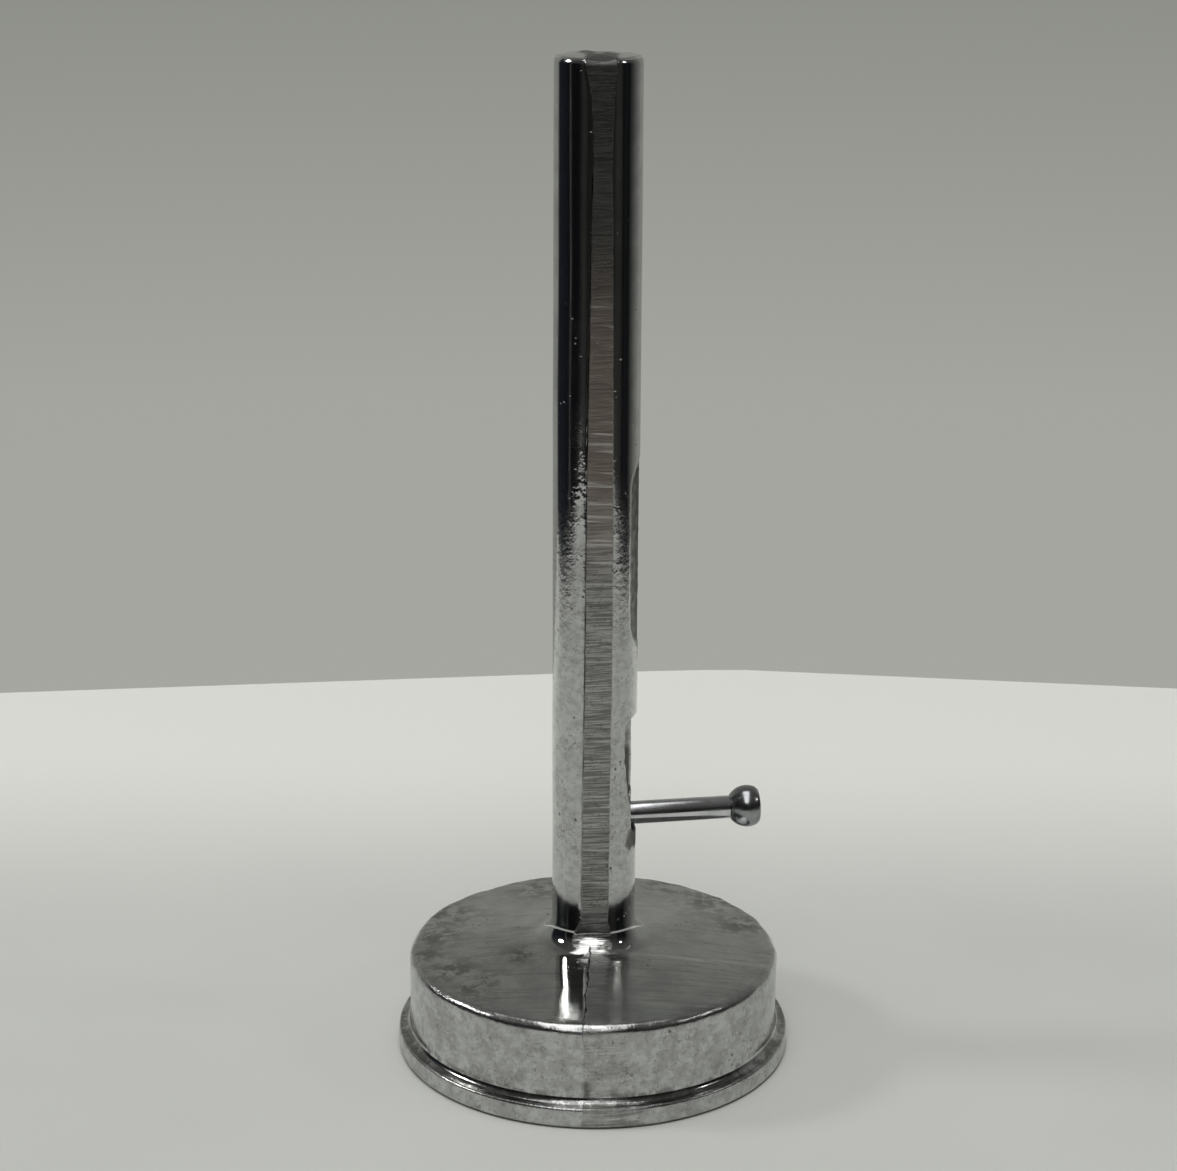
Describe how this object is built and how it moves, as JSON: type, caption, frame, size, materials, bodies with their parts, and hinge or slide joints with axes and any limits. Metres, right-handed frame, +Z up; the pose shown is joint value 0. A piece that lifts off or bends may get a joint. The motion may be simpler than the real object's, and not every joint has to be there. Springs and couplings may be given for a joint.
{
  "type": "falafel mould",
  "caption": "Cast aluminium falafel mould: a tubular handle cast in one with a round cup, with a spring-loaded ejector disc worked by a thumb lever in a slot.",
  "frame": {"origin": "centre of the cup's mouth, on the plane that the rim stands on", "axes": "+Z up the handle; +X towards the thumb lever's slot; -Y is the front of the filed parting line"},
  "size_m": [0.0708, 0.0708, 0.178],
  "materials": {
    "cast_aluminium": "bright cast skin with pits, polished by tumbling, filed across the parting line",
    "turned_aluminium": "turned, satin",
    "drawn_steel": "bright drawn",
    "plated_steel": "dark bright plating",
    "spring_steel": "hard drawn wire",
    "washer_steel": "punched and zinc plated"
  },
  "bodies": {
    "body": {"casing": "cast_aluminium", "return_spring": "spring_steel"},
    "plunger": {"plunger_rod": "turned_aluminium", "ejector_disc": "turned_aluminium", "disc_screw": "plated_steel", "spring_washer": "washer_steel", "lever_pin": "drawn_steel", "lever_knob": "plated_steel"}
  },
  "joints": [
    {"name": "plunger_slide", "type": "slide", "parent": "body", "child": "plunger", "axis": [0, 0, 1], "range_m": [0, 0.0124], "stiffness_N_per_m": 530, "springref_m": -0.012, "deforming": ["return_spring"]}
  ]
}
